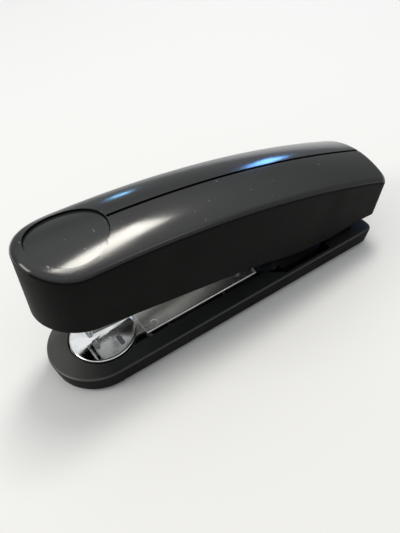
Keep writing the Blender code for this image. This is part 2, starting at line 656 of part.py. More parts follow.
def head_cover():
    """The moulded head: thumb recess, long centre groove and two screw bosses."""
    cover = head_form("head_cover", material=PLASTIC)
    combine(cover, head_form("cover_hollow", wall=HEAD_WALL, drop=HEAD_ROOF, reach=6.0),
            "DIFFERENCE")
    for number, u in enumerate(SCREW_PLACES, 1):
        low = ARM_TOP + GAP
        high = top_height(u, 0) - 2.7
        boss = place(f"cover_boss_{number}", cylinder_mesh(3.4, high - low, 24),
                     (u, 0, (low + high) / 2), group=HEAD)
        combine(cover, boss, "UNION")
        cut_hole(cover, f"boss_bore_{number}", (u, 0, low), SCREW_RADIUS + GAP, 9.0)
    pocket = place("thumb_pocket", cylinder_mesh(PAD_RADIUS + 0.4, 30.0, 48),
                   (HEAD_NOSE, 0, 20.0), group=HEAD)
    combine(pocket, head_form("pocket_floor", drop=PAD_RECESS + PAD_THICKNESS + GAP),
            "DIFFERENCE")
    combine(cover, pocket, "DIFFERENCE")
    groove = box_between("groove_cut", (GROOVE_FRONT, -GROOVE_WIDTH / 2, 0),
                         (HEAD_REAR + 5, GROOVE_WIDTH / 2, 40), HEAD)
    combine(groove, head_form("groove_floor", drop=GROOVE_DEPTH), "DIFFERENCE")
    combine(cover, groove, "DIFFERENCE")


def thumb_pad():
    """Round inlay whose top follows the crown, just below the cover's surface."""
    pad = place("thumb_pad", cylinder_mesh(PAD_RADIUS, 30.0, 48), (HEAD_NOSE, 0, 20.0),
                group=HEAD, material=PLASTIC)
    combine(pad, head_form("pad_top", drop=PAD_RECESS), "INTERSECT")
    combine(pad, head_form("pad_underside", drop=PAD_RECESS + PAD_THICKNESS), "DIFFERENCE")


def press_arm():
    """Inverted steel U on the pin, with a front tab for the driver."""
    front = DRIVER_U + DRIVER_THICKNESS / 2 + GAP
    side = [(front, 2.0), (-16.0, 2.0), (-7.0, -3.0)]
    for step in range(7):
        angle = math.radians(-120 + 25 * step)
        side.append((5.5 * math.cos(angle), 5.5 * math.sin(angle)))
    side += [(5.5, ARM_TOP), (front, ARM_TOP)]
    arm = place("press_arm", outline_mesh(side, 2 * ARM_HALF_WIDTH, upright=True),
                group=HEAD, material=STEEL)
    inner = ARM_HALF_WIDTH - ARM_SHEET
    cut_box(arm, "arm_inside", (front + ARM_SHEET, -inner, -20), (20, inner, ARM_TOP - ARM_WEB))
    cut_box(arm, "arm_front_gap", (front - 5, -inner, -20), (front + 5, inner, 4.5))
    cut_hole(arm, "arm_pin_hole", (0, 0, 0), PIN_RADIUS + GAP, 30.0, (90, 0, 0))
    for number, u in enumerate(SCREW_PLACES, 1):
        cut_hole(arm, f"arm_screw_hole_{number}", (u, 0, ARM_TOP), SCREW_RADIUS + GAP, 6.0)
    cut_hole(arm, "arm_spring_hole", (RETURN_LEAF_U, 0, ARM_TOP), RIVET_SHANK + GAP, 6.0)
    for side_sign in (-1, 1):
        cut_hole(arm, f"arm_driver_hole_{side_sign + 2}",
                 (front, DRIVER_RIVET_SIDE * side_sign, DRIVER_RIVET_HEIGHT),
                 RIVET_SHANK + GAP, 6.0, (0, 90, 0))


def driver():
    """Hardened blade and its two rivets."""
    half = DRIVER_THICKNESS / 2
    blade = box_between("driver_blade",
                        (DRIVER_U - half, -DRIVER_HALF_WIDTH, CHANNEL_BOTTOM + 0.2),
                        (DRIVER_U + half, DRIVER_HALF_WIDTH, ARM_TOP - 0.5), HEAD, STEEL)
    grip = DRIVER_THICKNESS + GAP + ARM_SHEET
    for side, label in ((-1, "right"), (1, "left")):
        y = DRIVER_RIVET_SIDE * side
        cut_hole(blade, f"blade_hole_{label}", (DRIVER_U, y, DRIVER_RIVET_HEIGHT),
                 RIVET_SHANK + GAP, 6.0, (0, 90, 0))
        rivet(f"driver_rivet_{label}", grip,
              (DRIVER_U - half + grip / 2, y, DRIVER_RIVET_HEIGHT), (0, 90, 0), HEAD, rise=0.5)


def cover_screws():
    for number, u in enumerate(SCREW_PLACES, 1):
        head_low = ARM_TOP - ARM_WEB - GAP - 1.2
        screw_part(f"cover_screw_{number}", head_low, ARM_TOP + 4.0, (u, 0, 0), HEAD)


def return_spring():
    """Leaf under the arm that lifts the head off the magazine."""
    under = ARM_TOP - ARM_WEB - GAP - LEAF_THICKNESS / 2
    path = [(-24, under), (-38, under), (-41, under - 1.0), (-58, -3.4), (-61, -4.6),
            (-64.5, -4.3)]
    spring = bent_strip("return_spring", path, 14.0, LEAF_THICKNESS, HEAD, SPRING_STEEL)
    cut_hole(spring, "return_leaf_hole", (RETURN_LEAF_U, 0, under), RIVET_SHANK + GAP, 4.0)
    grip = ARM_WEB + GAP + LEAF_THICKNESS
    rivet("return_spring_rivet", grip, (RETURN_LEAF_U, 0, ARM_TOP - grip / 2), (0, 0, 0), HEAD,
          rise=0.5)


# ---------------------------------------------------------------- build
clear_scene()
PARTS = new_collection("desk_stapler")
CUTTERS = new_collection("cutters")

PLASTIC = finish("black_moulded_plastic", (0.012, 0.012, 0.013), 0.32)
GREY_PLASTIC = finish("grey_moulded_plastic", (0.10, 0.10, 0.11), 0.45)
RUBBER = finish("black_rubber", (0.015, 0.015, 0.015), 0.85)
PLATED_STEEL = finish("plated_steel", (0.80, 0.80, 0.80), 0.12, 1.0)
STEEL = finish("plain_steel", (0.55, 0.55, 0.56), 0.30, 1.0)
SPRING_STEEL = finish("spring_steel", (0.40, 0.40, 0.42), 0.28, 1.0)
PAINTED_STEEL = finish("painted_steel", (0.014, 0.014, 0.015), 0.45)

BASE = new_group("base_datum", (-MID_STATION, 0, 0))
ANVIL = new_group("anvil_axis", (ANVIL_STATION, 0, 0), parent=BASE)
MAGAZINE = new_group("magazine_axis", (PIN_STATION, 0, PIN_HEIGHT), MAGAZINE_RAISE, BASE)
HEAD = new_group("head_axis", (0, 0, 0), HEAD_RAISE, MAGAZINE)

base_shell()
base_plate()
hinge_bracket()
base_fasteners()
feet()
lift_spring()
hinge_pin()
anvil()
magazine_channel()
staple_rail()
nose_plate()
pusher()
pusher_drive()
head_cover()
thumb_pad()
press_arm()
driver()
cover_screws()
return_spring()

for part in PARTS.objects:
    if part.type == "MESH" and len(part.data.polygons) > 0:
        part.data.shade_smooth()
        part.data.set_sharp_from_angle(angle=math.radians(35))
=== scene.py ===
"""Looks of the desk stapler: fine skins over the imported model, materials, light and camera.

Shapes are written in millimetres in three local frames: the base's, whose stations count
from the base's front edge, and the magazine's and the head's, which are modelled level with
their origin on the hinge pin and then raised to their rest angles.
"""
import json
import math

import bmesh
import bpy
from mathutils import Matrix, Vector

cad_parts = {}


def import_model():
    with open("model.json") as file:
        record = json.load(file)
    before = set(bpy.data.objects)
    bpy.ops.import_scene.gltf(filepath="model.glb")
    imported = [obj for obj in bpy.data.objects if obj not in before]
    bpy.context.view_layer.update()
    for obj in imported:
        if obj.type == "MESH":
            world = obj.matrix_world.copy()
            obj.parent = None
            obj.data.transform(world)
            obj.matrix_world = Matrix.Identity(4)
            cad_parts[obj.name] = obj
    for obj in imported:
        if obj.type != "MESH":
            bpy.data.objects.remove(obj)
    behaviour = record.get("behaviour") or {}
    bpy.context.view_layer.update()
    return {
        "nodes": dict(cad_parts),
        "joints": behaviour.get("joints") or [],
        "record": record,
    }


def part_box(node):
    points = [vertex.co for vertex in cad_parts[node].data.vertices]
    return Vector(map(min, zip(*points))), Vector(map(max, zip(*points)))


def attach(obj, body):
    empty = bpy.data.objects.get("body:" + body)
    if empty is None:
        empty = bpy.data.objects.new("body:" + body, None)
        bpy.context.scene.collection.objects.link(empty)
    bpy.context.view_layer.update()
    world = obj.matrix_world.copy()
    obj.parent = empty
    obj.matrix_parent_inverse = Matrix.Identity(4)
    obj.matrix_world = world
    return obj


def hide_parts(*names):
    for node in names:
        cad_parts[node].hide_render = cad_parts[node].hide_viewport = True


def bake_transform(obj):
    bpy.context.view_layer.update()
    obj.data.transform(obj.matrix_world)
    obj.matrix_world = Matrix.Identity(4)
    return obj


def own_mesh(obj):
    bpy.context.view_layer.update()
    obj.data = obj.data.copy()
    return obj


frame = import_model()

MM = 0.001
JOINTS = {joint["name"]: joint for joint in frame["joints"]}
PIN = Vector(JOINTS["magazine_hinge"]["pos_m"])
BODY_OF = {node: body for body, nodes in frame["record"]["behaviour"]["bodies"].items()
           for node in nodes}
SLOT_OF = {part["node"]: part["material_slot"] for part in frame["record"]["subparts"]}
# Nodes that get a newly built shape here; the others keep their CAD shape.
REPLACED = ("head_cover", "thumb_pad", "base_shell", "base_plate", "anvil_plate",
            "pusher_spring", "anvil_spring", "lift_spring", "base_screw_1", "base_screw_2",
            "cover_screw_1", "cover_screw_2")
BASE_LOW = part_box("base_shell")[0]
ANVIL_LOW, ANVIL_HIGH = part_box("anvil_plate")
BASE_HALF_WIDTH = 20.2
BASE_NOSE = 21.0
BASE_ORIGIN = BASE_LOW.x - (BASE_NOSE - BASE_HALF_WIDTH) * MM
RIB_STATIONS = (45.0, 72.0)        # the ribs, and the base screws in them
COVER_SCREW_PLACES = (-96.0, -14.0)
MAGAZINE_RAISE = -JOINTS["magazine_hinge"]["range_deg"][0]
HEAD_RAISE = -JOINTS["head_hinge"]["range_deg"][0]


def raised(angle):
    """The frame of a group on the pin, its nose end lifted by angle degrees."""
    return Matrix.Translation(PIN) @ Matrix.Rotation(math.radians(angle), 4, "Y")


BASE_FRAME = Matrix.Translation((BASE_ORIGIN, 0, 0))
ANVIL_FRAME = Matrix.Translation(((ANVIL_LOW.x + ANVIL_HIGH.x) / 2, 0, 0))
MAGAZINE_FRAME = raised(MAGAZINE_RAISE)
HEAD_FRAME = raised(MAGAZINE_RAISE + HEAD_RAISE)

# ---------------------------------------------------------------- materials


class Nodes:
    """A small helper that adds and wires shader nodes in one material."""

    def __init__(self, name, colour, roughness, metallic=0.0):
        self.material = bpy.data.materials.new(name)
        self.material.use_nodes = True
        self.tree = self.material.node_tree
        self.shader = self.tree.nodes["Principled BSDF"]
        self.shader.inputs["Base Color"].default_value = (*colour, 1.0)
        self.shader.inputs["Roughness"].default_value = roughness
        self.shader.inputs["Metallic"].default_value = metallic
        self.place = self.tree.nodes.new("ShaderNodeTexCoord").outputs["Object"]

    def link(self, source, target):
        self.tree.links.new(source, target)

    def stretched(self, scale, turn=(0.0, 0.0, 0.0)):
        mapping = self.tree.nodes.new("ShaderNodeMapping")
        mapping.inputs["Scale"].default_value = scale
        mapping.inputs["Rotation"].default_value = [math.radians(value) for value in turn]
        self.link(self.place, mapping.inputs["Vector"])
        return mapping.outputs["Vector"]

    def noise(self, scale, detail=3.0, vector=None, distortion=0.0):
        node = self.tree.nodes.new("ShaderNodeTexNoise")
        node.inputs["Scale"].default_value = scale
        node.inputs["Detail"].default_value = detail
        node.inputs["Distortion"].default_value = distortion
        self.link(vector or self.place, node.inputs["Vector"])
        return node.outputs["Fac"]

    def ranged(self, value, low, high, out_low, out_high):
        node = self.tree.nodes.new("ShaderNodeMapRange")
        node.clamp = True
        node.inputs["From Min"].default_value = low
        node.inputs["From Max"].default_value = high
        node.inputs["To Min"].default_value = out_low
        node.inputs["To Max"].default_value = out_high
        self.link(value, node.inputs["Value"])
        return node.outputs["Result"]

    def math(self, operation, first, second):
        node = self.tree.nodes.new("ShaderNodeMath")
        node.operation = operation
        for socket, value in zip(node.inputs, (first, second)):
            if isinstance(value, (int, float)):
                socket.default_value = value
            else:
                self.link(value, socket)
        return node.outputs[0]

    def blend_colours(self, factor, first, second):
        node = self.tree.nodes.new("ShaderNodeMix")
        node.data_type = "RGBA"
        self.link(factor, node.inputs["Factor"])
        node.inputs[6].default_value = (*first, 1.0)
        node.inputs[7].default_value = (*second, 1.0)
        return node.outputs[2]

    def dashes(self, cells, turn, width, scarce):
        """Short straight nicks, one per cell at most and only in scattered patches."""
        node = self.tree.nodes.new("ShaderNodeTexVoronoi")
        node.inputs["Scale"].default_value = 1.0
        self.link(self.stretched(cells, turn), node.inputs["Vector"])
        mark = self.ranged(node.outputs["Distance"], width * 0.6, width, 1.0, 0.0)
        patch = self.ranged(self.noise(150.0, 2.0), scarce, scarce + 0.03, 0.0, 1.0)
        return self.math("MULTIPLY", mark, patch)

    def bump(self, height, distance, strength=1.0, below=None):
        node = self.tree.nodes.new("ShaderNodeBump")
        node.inputs["Distance"].default_value = distance
        node.inputs["Strength"].default_value = strength
        self.link(height, node.inputs["Height"])
        if below is not None:
            self.link(below, node.inputs["Normal"])
        return node.outputs["Normal"]

    def finish(self, colour=None, roughness=None, normal=None):
        for value, name in ((colour, "Base Color"), (roughness, "Roughness"), (normal, "Normal")):
            if value is not None:
                self.link(value, self.shader.inputs[name])
        return self.material


def moulded_plastic(name, dark, paler_tone, smooth, rough, grain, specular=0.5, nicks=True):
    """Black moulding: fine grain, rubbed patches and a few pale nicks."""
    m = Nodes(name, dark, rough)
    m.shader.inputs["Specular IOR Level"].default_value = specular
    rubbed = m.noise(38.0, 4.0, distortion=0.6)
    roughness = m.ranged(rubbed, 0.35, 0.68, smooth, rough)
    dust = m.ranged(m.noise(2600.0, 2.0), 0.72, 0.80, 0.0, 0.35)
    mask = m.math("MULTIPLY", dust, m.ranged(m.noise(70.0, 2.0), 0.5, 0.7, 0.0, 1.0))
    if nicks:
        line = m.dashes((900.0, 90.0, 0.0), (0, 0, 35), 0.10, 0.56)
        cross = m.dashes((140.0, 1100.0, 0.0), (0, 0, -12), 0.09, 0.58)
        mask = m.math("MAXIMUM", mask, m.math("MAXIMUM", line, cross))
    colour = m.blend_colours(mask, dark, paler_tone)
    fine = m.bump(m.noise(2400.0, 2.0), grain, 0.6)
    waves = m.bump(m.noise(24.0, 1.0), 0.00006, 0.35, fine)
    return m.finish(colour, roughness, waves)


def deck_with_painted_sheen(name, dark, pale_colour, front, rear):
    """The base's deck: near black, its nose painted paler between two places as a painted sheen
    standing in for the light on it, with scattered dust specks.
    """
    m = Nodes(name, dark, 0.4)
    axis = m.tree.nodes.new("ShaderNodeSeparateXYZ")
    m.link(m.place, axis.inputs[0])
    along = m.math("ADD", axis.outputs["X"], m.ranged(m.noise(60.0, 2.0), 0.3, 0.7, -0.003, 0.003))
    # painted sheen: this mask paints the deck's nose paler, for the light that falls on it there
    paler_tone = m.ranged(along, front, rear, 1.0, 0.0)
    specks = m.ranged(m.noise(2200.0, 2.0), 0.66, 0.78, 0.0, 0.25)
    colour = m.blend_colours(m.math("MAXIMUM", paler_tone, specks), dark, pale_colour)
    fine = m.bump(m.noise(2400.0, 2.0), 0.000025, 0.6)
    return m.finish(colour, m.ranged(m.noise(45.0, 4.0), 0.35, 0.68, 0.34, 0.46), fine)


def plated(name, tint, dull, smooth, rough, smudges=60.0, ripple=0.00003):
    """Bright plated steel: soft smudges, hairlines and a slightly uneven polish."""
    m = Nodes(name, tint, smooth, 1.0)
    smudge = m.ranged(m.noise(smudges, 2.0), 0.40, 0.75, 0.0, 1.0)
    hair = m.noise(1.0, 2.0, m.stretched((60.0, 3000.0, 400.0)))
    roughness = m.math("ADD", m.ranged(smudge, 0.0, 1.0, smooth, rough),
                       m.ranged(hair, 0.3, 0.7, -0.01, 0.03))
    colour = m.blend_colours(smudge, tint, dull)
    lines = m.bump(hair, 0.000003, 0.4)
    waves = m.bump(m.noise(90.0, 2.0), ripple, 0.4, lines)
    return m.finish(colour, roughness, waves)


def rolled_steel(name, tint, dark, smooth, rough, stretch=(90.0, 2200.0, 900.0)):
    """Plain pressed steel: rolling lines, oily patches and dull spots."""
    m = Nodes(name, tint, smooth, 1.0)
    rolled = m.noise(1.0, 3.0, m.stretched(stretch))
    patches = m.noise(140.0, 4.0, distortion=0.8)
    colour = m.blend_colours(m.ranged(patches, 0.35, 0.75, 0.0, 1.0), tint, dark)
    roughness = m.ranged(m.math("ADD", m.math("MULTIPLY", rolled, 0.5),
                                m.math("MULTIPLY", patches, 0.5)), 0.3, 0.7, smooth, rough)
    return m.finish(colour, roughness, m.bump(rolled, 0.000008, 0.6))


def painted(name, dark, paler_tone):
    """Thin black paint over steel, orange-peel texture, a little rubbed through."""
    m = Nodes(name, dark, 0.42)
    rubbed = m.ranged(m.noise(260.0, 5.0), 0.66, 0.72, 0.0, 0.6)
    peel = m.bump(m.noise(1500.0, 2.0), 0.00002, 0.5)
    return m.finish(m.blend_colours(rubbed, dark, paler_tone),
                    m.ranged(m.noise(180.0, 3.0), 0.3, 0.7, 0.32, 0.52), peel)


def rubber(name, dark, pale_colour):
    """Matt rubber: fine pitted surface with dust in it."""
    m = Nodes(name, dark, 0.85)
    m.shader.inputs["Specular IOR Level"].default_value = 0.3
    pits = m.noise(1900.0, 4.0)
    dust = m.ranged(m.noise(210.0, 5.0), 0.52, 0.74, 0.0, 0.7)
    return m.finish(m.blend_colours(dust, dark, pale_colour),
                    m.ranged(pits, 0.3, 0.7, 0.72, 0.95), m.bump(pits, 0.00005, 0.7))


HEAD_TOP = moulded_plastic("head_top_plastic", (0.013, 0.0135, 0.0135), (0.16, 0.16, 0.15),
                           0.13, 0.17, 0.000010)
# Painted shade: the head's sides are a darker copy of the plastic with a weak reflection; their
# rougher grain is their own finish.
HEAD_SIDE_SHADED = moulded_plastic("head_side_painted_shade", (0.003, 0.003, 0.0029), (0.009, 0.009, 0.009),
                            0.44, 0.56, 0.00002, specular=0.06, nicks=False)
PAD_PLASTIC = moulded_plastic("thumb_pad_plastic", (0.014, 0.015, 0.015), (0.17, 0.17, 0.16),
                              0.11, 0.15, 0.000010)
# Painted shade: the base's walls are a darker copy of the plastic that reflects little, unlike the
# deck.
BASE_WALL_SHADED = moulded_plastic("base_wall_painted_shade", (0.0028, 0.0028, 0.0028),
                               (0.009, 0.009, 0.009), 0.42, 0.54, 0.00002, specular=0.06,
                               nicks=False)
# The deck's paler nose is a painted sheen; its small specks are dust.
DECK_PLASTIC = deck_with_painted_sheen("base_deck_plastic", (0.0065, 0.007, 0.0075), (0.052, 0.052, 0.044),
                         BASE_ORIGIN + 0.005, BASE_ORIGIN + 0.020)
STRIP_PLATE = plated("strip_nickel", (0.74, 0.73, 0.70), (0.34, 0.33, 0.31), 0.20, 0.34, 48.0)
# Painted highlight: a brighter copy of the plating for the strip's side edges and its curled lip.
STRIP_EDGE_HIGHLIGHT = plated("strip_edge_painted_highlight", (0.90, 0.90, 0.88), (0.80, 0.80, 0.78), 0.25, 0.36)
ANVIL_CHROME = plated("anvil_chrome", (0.86, 0.87, 0.87), (0.60, 0.61, 0.60), 0.04, 0.13,
                      150.0, 0.00012)
MAGAZINE_PLATE = plated("magazine_nickel", (0.62, 0.62, 0.61), (0.50, 0.50, 0.49), 0.16, 0.30, 35.0)
PLAIN_STEEL = rolled_steel("pressed_steel", (0.50, 0.50, 0.51), (0.30, 0.30, 0.31), 0.24, 0.44)
SPRING_STEEL = rolled_steel("spring_steel", (0.40, 0.40, 0.42), (0.22, 0.22, 0.25), 0.20, 0.38)
# Painted shade: a near-black copy of the steel for the strip's flanges, which sit in the shade
# under it.
STRIP_UNDERSIDE_SHADE = rolled_steel("strip_underside_painted_shade", (0.06, 0.06, 0.065), (0.03, 0.03, 0.032), 0.45, 0.60)
BLACK_PAINT = painted("black_paint", (0.012, 0.012, 0.013), (0.20, 0.20, 0.20))
PUSHER_PLASTIC = moulded_plastic("pusher_plastic", (0.08, 0.08, 0.085), (0.16, 0.16, 0.16),
                                 0.38, 0.52, 0.00002)
FOOT_RUBBER = rubber("foot_rubber", (0.013, 0.013, 0.013), (0.05, 0.05, 0.048))

# ---------------------------------------------------------------- shape helpers


def finished_mesh(bm, name="shape"):
    bmesh.ops.recalc_face_normals(bm, faces=bm.faces)
    mesh = bpy.data.meshes.new(name)
    bm.to_mesh(mesh)
    bm.free()
    return mesh


def local(name, mesh, place):
    """An object whose mesh is in millimetres of a local frame, brought to world metres."""
    mesh.transform(place @ Matrix.Scale(MM, 4))
    obj = bpy.data.objects.new(name, mesh)
    bpy.context.scene.collection.objects.link(obj)
    return obj


def box(low, high):
    bm = bmesh.new()
    size = [b - a for a, b in zip(low, high)]
    centre = [(a + b) / 2 for a, b in zip(low, high)]
    matrix = Matrix.Translation(centre) @ Matrix.Diagonal((*size, 1.0))
    bmesh.ops.create_cube(bm, size=1.0, matrix=matrix)
    return finished_mesh(bm)


def rounded_box(low, high, radius):
    """A box whose edges are rounded before it is joined to anything."""
    bm = bmesh.new()
    bm.from_mesh(box(low, high))
    bmesh.ops.bevel(bm, geom=bm.edges[:], offset=radius, segments=4, profile=0.5,
                    affect="EDGES", clamp_overlap=True)
    return finished_mesh(bm)


def cylinder(centre, radius, length, axis="Z", segments=64, top_radius=None):
    turns = {"X": Matrix.Rotation(math.pi / 2, 4, "Y"), "Y": Matrix.Rotation(math.pi / 2, 4, "X"),
             "Z": Matrix()}
    bm = bmesh.new()
    bmesh.ops.create_cone(bm, cap_ends=True, segments=segments, radius1=radius,
                          radius2=radius if top_radius is None else top_radius, depth=length,
                          matrix=Matrix.Translation(centre) @ turns[axis])
    return finished_mesh(bm)


def prism(points, low, high):
    """A flat outline (x, y) raised from low to high."""
    bm = bmesh.new()
    face = bm.faces.new([bm.verts.new((x, y, low)) for x, y in points])
    raised_part = bmesh.ops.extrude_face_region(bm, geom=[face])
    verts = [item for item in raised_part["geom"] if isinstance(item, bmesh.types.BMVert)]
    bmesh.ops.translate(bm, verts=verts, vec=(0, 0, high - low))
    return finished_mesh(bm)


def upright(points, low_y, high_y):
    """A flat outline (x, z) raised across Y."""
    mesh = prism(points, -high_y, -low_y)
    mesh.transform(Matrix.Rotation(math.pi / 2, 4, "X"))
    return mesh


class Shape:
    """A solid that is cut and joined in its local frame, then baked to one clean mesh."""

    def __init__(self, name, mesh, place):
        self.place = place
        self.tools = []
        self.obj = local(name, mesh, place)

    def apply(self, mesh, operation):
        tool = mesh.obj if isinstance(mesh, Shape) else local("tool", mesh, self.place)
        self.tools.append(tool)
        modifier = self.obj.modifiers.new("shape", "BOOLEAN")
        modifier.operation = operation
        modifier.solver = "EXACT"
        modifier.object = tool
        return self

    def cut(self, mesh):
        return self.apply(mesh, "DIFFERENCE")

    def join(self, mesh):
        return self.apply(mesh, "UNION")

    def keep(self, mesh):
        return self.apply(mesh, "INTERSECT")

    def bake(self, edge=0.0, segments=2, angle=40.0, smooth=35.0):
        """Apply the cuts and, with edge in mm, round the sharp edges."""
        if edge:
            bevel = self.obj.modifiers.new("edges", "BEVEL")
            bevel.width = edge * MM
            bevel.segments = segments
            bevel.limit_method = "ANGLE"
            bevel.angle_limit = math.radians(angle)
            bevel.miter_outer = "MITER_ARC"
            bevel.use_clamp_overlap = True
        bpy.context.view_layer.update()
        depsgraph = bpy.context.evaluated_depsgraph_get()
        mesh = bpy.data.meshes.new_from_object(self.obj.evaluated_get(depsgraph))
        self.obj.modifiers.clear()
        self.obj.data = mesh
        for tool in self.tools:
            bpy.data.objects.remove(tool, do_unlink=True)
        self.tools = []
        mesh.materials.clear()
        mesh.shade_smooth()
        mesh.set_sharp_from_angle(angle=math.radians(smooth))
        weighted = self.obj.modifiers.new("normals", "WEIGHTED_NORMAL")
        weighted.keep_sharp = True
        return self.obj


def show(obj, body, nodes, slot_name, *materials):
    """Give a piece its materials, attach it to its body if it has one, and hide the nodes it stands
    for.

    A piece that is blended between two bodies rides on none, so its body is None.
    """
    for material in materials:
        obj.data.materials.append(material)
    if body:
        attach(obj, body)
    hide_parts(*nodes)
    return obj


def paint_where(obj, place, index, test):
    """Give the faces whose local (centre, normal) passes the test another material slot."""
    inward = place.inverted()
    for face in obj.data.polygons:
        if test(inward @ face.center / MM, inward.to_3x3() @ face.normal):
            face.material_index = index


# ---------------------------------------------------------------- lofted plan forms


def half_outline(half_width, nose, rear, corner, nose_steps, straight_steps, corner_steps):
    """The +Y side of a plan outline: round nose, straight side, rounded rear corner."""
    points = []
    for step in range(nose_steps + 1):
        angle = math.radians(90 * step / nose_steps)
        points.append((nose - half_width * math.cos(angle), half_width * math.sin(angle)))
    for step in range(1, straight_steps):
        share = step / straight_steps
        points.append((nose + (rear - corner - nose) * share, half_width))
    for step in range(corner_steps + 1):
        angle = math.radians(90 * step / corner_steps)
        points.append((rear - corner + corner * math.sin(angle),
                       half_width - corner + corner * math.cos(angle)))
    return points


def lofted(levels, nose_steps, straight_steps, corner_steps, cross_steps):
    """A closed solid through levels of (half width, nose, rear, corner, height(x, y))."""
    bm = bmesh.new()
    loops = []
    for half_width, nose, rear, corner, height in levels:
        side = half_outline(half_width, nose, rear, corner, nose_steps, straight_steps,
                            corner_steps)
        rear_half = side[-1][1]
        across = [(rear, rear_half * (1 - 2 * step / cross_steps))
                  for step in range(1, cross_steps)]
        mirrored = [(x, -y) for x, y in reversed(side[1:])]
        loops.append([bm.verts.new((x, y, height(x, y)))
                      for x, y in [(side[0][0], 0.0)] + side[1:] + across + mirrored])
    for low, high in zip(loops, loops[1:]):
        for index in range(len(low)):
            after = (index + 1) % len(low)
            bm.faces.new((low[index], low[after], high[after], high[index]))
    stations = nose_steps + straight_steps + corner_steps
    for loop, level in ((loops[0], levels[0]), (loops[-1], levels[-1])):
        cap_rows(bm, loop, stations, cross_steps, level[4])
    return finished_mesh(bm)


def cap_rows(bm, loop, stations, cross_steps, height):
    """Close a loop with a grid of faces across Y, which follows the height function."""
    rear_row = loop[stations:stations + cross_steps + 1]
    rows = []
    for station in range(1, stations):
        left, right = loop[station], loop[-station]
        inner = []
        for step in range(1, cross_steps):
            y = left.co.y * (1 - 2 * step / cross_steps)
            inner.append(bm.verts.new((left.co.x, y, height(left.co.x, y))))
        rows.append([left] + inner + [right])
    rows.append(rear_row)
    for first, second in zip(rows[0], rows[0][1:]):
        bm.faces.new((loop[0], first, second))
    for row, following in zip(rows, rows[1:]):
        for step in range(cross_steps):
            bm.faces.new((row[step], row[step + 1], following[step + 1], following[step]))


# ---------------------------------------------------------------- head
HEAD_HALF_WIDTH = 19.0
FOOT_HALF_WIDTH = 17.6
NOSE = -129.5
FOOT_NOSE = -127.2
HEAD_REAR = 9.06
EDGE_RADIUS = 2.0
CREST, CREST_HEIGHT, CREST_CURVE, CROWN = -73.7, 22.2, 0.0012, 4.7
ARM_TOP = 12.5
PAD_RADIUS = 14.4
PAD_RECESS = 0.9
PAD_THICKNESS = 1.2
PAD_SEAT = 1.5                     # depth of the pocket under the pad's top
PAD_GAP = 0.22
HEAD_CORNER = 3.0
HEAD_WALL = 2.0
HEAD_ROOF = 3.4
SKIRT = 6.0                        # how far the hollow runs out below the lower edge
BOSS_RADIUS, BOSS_BORE = 3.4, 1.8
BOSS_GAP = 0.3                     # between the bosses and the press arm
GROOVE_FRONT, GROOVE_HALF_WIDTH, GROOVE_DEPTH = -114.6, 0.65, 2.0


def top_height(x, y):
    """The head's upper surface: an arched line along it, crowned across."""
    arch = CREST_HEIGHT - CREST_CURVE * (x - CREST) ** 2
    return arch + CROWN * (1 - (y / HEAD_HALF_WIDTH) ** 2)


def lower_height(x):
    """The head's lower edge: straight, with a shallow belly ahead of the hinge."""
    def eased(start, end):
        share = min(max((x - start) / (end - start), 0.0), 1.0)
        return share * share * (3 - 2 * share)
    return -8.0 - 1.7 * eased(-62.0, -36.0) + 5.6 * eased(-30.0, 9.0)


def head_form(wall=0.0, drop=0.0, reach=0.0, steps=(26, 40, 5, 24)):
    """The head's closed form, wall inside its sides, drop below its top."""
    levels = [(FOOT_HALF_WIDTH - wall, FOOT_NOSE, HEAD_REAR - wall, HEAD_CORNER,
               lambda x, y: lower_height(x) - reach)]
    for step in range(7):
        angle = math.radians(15 * step)
        inset = wall + EDGE_RADIUS * (1 - math.cos(angle))
        lower = drop + EDGE_RADIUS * (1 - math.sin(angle))
        levels.append((HEAD_HALF_WIDTH - inset, NOSE, HEAD_REAR - inset, HEAD_CORNER,
                       lambda x, y, lower=lower: top_height(x, y) - lower))
    return lofted(levels, *steps)


def head_cover():
    """The arched moulding, hollow below, with screw bosses, the pad's pocket and the groove."""
    cover = Shape("head_cover_skin", head_form(), HEAD_FRAME)
    cover.cut(head_form(wall=HEAD_WALL, drop=HEAD_ROOF, reach=SKIRT, steps=(16, 24, 3, 14)))
    for u in COVER_SCREW_PLACES:
        cover.join(cylinder((u, 0, (ARM_TOP + BOSS_GAP + top_height(u, 0) - 2.7) / 2), BOSS_RADIUS,
                            top_height(u, 0) - 3.0 - ARM_TOP, segments=40))
        cover.cut(cylinder((u, 0, ARM_TOP + BOSS_GAP), BOSS_BORE, 9.0, segments=32))
    pocket = Shape("pocket", cylinder((NOSE, 0, 20), PAD_RADIUS + PAD_GAP, 30, segments=128),
                   HEAD_FRAME)
    pocket.cut(head_form(drop=PAD_RECESS + PAD_SEAT))
    pocket.bake()
    cover.cut(pocket)
    groove = Shape("groove", box((GROOVE_FRONT, -GROOVE_HALF_WIDTH, 0),
                                 (HEAD_REAR + 5, GROOVE_HALF_WIDTH, 40)), HEAD_FRAME)
    groove.cut(head_form(drop=GROOVE_DEPTH))
    groove.bake()
    cover.cut(groove)
    skin = cover.bake(edge=0.16, segments=2, angle=50.0)
    # Painted shade: the sides and the lower rim take the darker, weakly reflecting copy of the
    # plastic.
    paint_where(skin, HEAD_FRAME, 1, lambda centre, normal: abs(normal.z) < 0.35
                or centre.z < lower_height(centre.x) + 3)
    show(skin, "head", ["head_cover"], "head_plastic", HEAD_TOP, HEAD_SIDE_SHADED)


def thumb_pad():
    """The round inlay, which follows the crown of the top."""
    pad = Shape("thumb_pad_skin", cylinder((NOSE, 0, 20), PAD_RADIUS, 30, segments=128),
                HEAD_FRAME)
    pad.keep(head_form(drop=PAD_RECESS))
    pad.cut(head_form(drop=PAD_RECESS + PAD_THICKNESS, steps=(16, 24, 3, 14)))
    show(pad.bake(edge=0.2, segments=3, angle=50.0), "head", ["thumb_pad"], "pad_plastic",
         PAD_PLASTIC)


